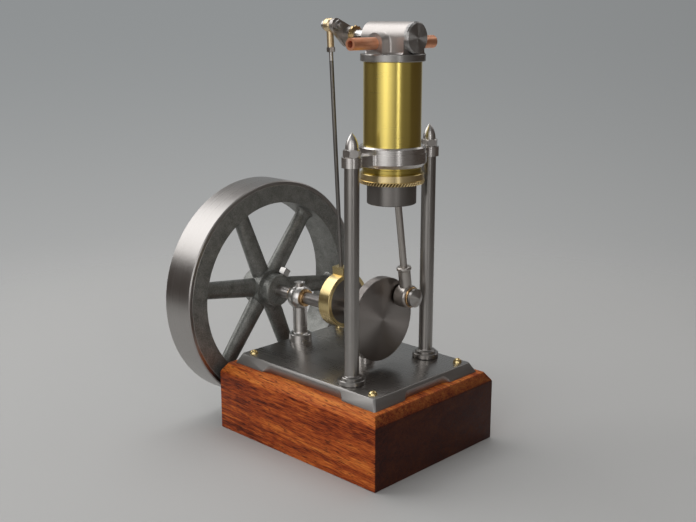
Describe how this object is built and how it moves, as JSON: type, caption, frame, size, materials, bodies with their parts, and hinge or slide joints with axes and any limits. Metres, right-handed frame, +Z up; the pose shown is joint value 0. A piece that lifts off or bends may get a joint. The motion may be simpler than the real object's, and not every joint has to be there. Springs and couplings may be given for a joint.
{
  "type": "model stationary steam engine",
  "caption": "Bench-top model of an upright stationary steam engine: cylinder on columns over a crank, with a spoked flywheel, on a wooden block.",
  "frame": {"origin": "centre of the wooden base's underside", "axes": "+X along the crankshaft from the flywheel to the crank disc, +Y across the engine towards the exhaust pipe, +Z up"},
  "size_m": [0.1708, 0.1524, 0.2673],
  "materials": {
    "mahogany": "oiled, satin",
    "plate_steel": "satin ground",
    "turned_steel": "turned",
    "polished_steel": "polished",
    "cast_iron": "as cast",
    "bare_iron": "machined",
    "brass": "polished",
    "bronze": "turned",
    "copper": "drawn",
    "satin_steel": "bead blasted"
  },
  "bodies": {
    "frame": {"wooden_base": "mahogany", "base_plate": "plate_steel", "column_front": "turned_steel", "column_rear": "turned_steel", "finial_front": "polished_steel", "finial_rear": "polished_steel", "yoke": "polished_steel", "cylinder_liner": "bare_iron", "cylinder_jacket": "brass", "ring_nut": "brass", "cylinder_cover": "turned_steel", "valve_chest": "satin_steel", "valve_end_cap": "turned_steel", "steam_pipe": "copper", "exhaust_pipe": "copper", "pedestal_outer": "polished_steel", "bush_outer_left": "bronze", "bush_outer_right": "bronze", "pedestal_inner": "polished_steel", "bush_inner_left": "bronze", "bush_inner_right": "bronze"},
    "crankshaft": {"crankshaft": "turned_steel", "crank_disc": "turned_steel", "eccentric_sheave": "turned_steel", "flywheel": "cast_iron", "flywheel_set_screw": "polished_steel"},
    "eccentric_rod": {"eccentric_strap": "brass", "valve_rod": "turned_steel", "rod_lock_nut": "turned_steel", "rod_end": "brass", "lever_pin": "polished_steel"},
    "valve_lever": {"valve_spindle": "satin_steel", "valve_lever": "satin_steel", "lever_collar": "brass", "lever_nut": "polished_steel"},
    "piston": {"piston": "bare_iron", "gudgeon_pin": "polished_steel"},
    "connecting_rod": {"connecting_rod": "turned_steel", "big_end_bush": "bronze", "crank_pin": "turned_steel"}
  },
  "joints": [
    {"name": "crankshaft_turn", "type": "hinge", "parent": "frame", "child": "crankshaft", "pos_m": [0, 0, 0.0833], "axis": [1, 0, 0], "continuous": true},
    {"name": "eccentric_turn", "type": "hinge", "parent": "crankshaft", "child": "eccentric_rod", "pos_m": [-0.0107, 0, 0.0893], "axis": [1, 0, 0], "continuous": true},
    {"name": "valve_lever_swing", "type": "hinge", "parent": "frame", "child": "valve_lever", "pos_m": [0, 0, 0.2564], "axis": [1, 0, 0], "range_deg": [-0.5, 57.4]},
    {"name": "piston_stroke", "type": "slide", "parent": "frame", "child": "piston", "axis": [0, 0, 1], "range_m": [-0.0326, 0.0077]},
    {"name": "connecting_rod_swing", "type": "hinge", "parent": "piston", "child": "connecting_rod", "pos_m": [0.031, 0, 0.19771], "axis": [1, 0, 0], "range_deg": [-19.8, 2.9]}
  ],
  "couplings": [
    {"joint": "eccentric_turn", "follows": "crankshaft_turn", "ratio": -1}
  ]
}
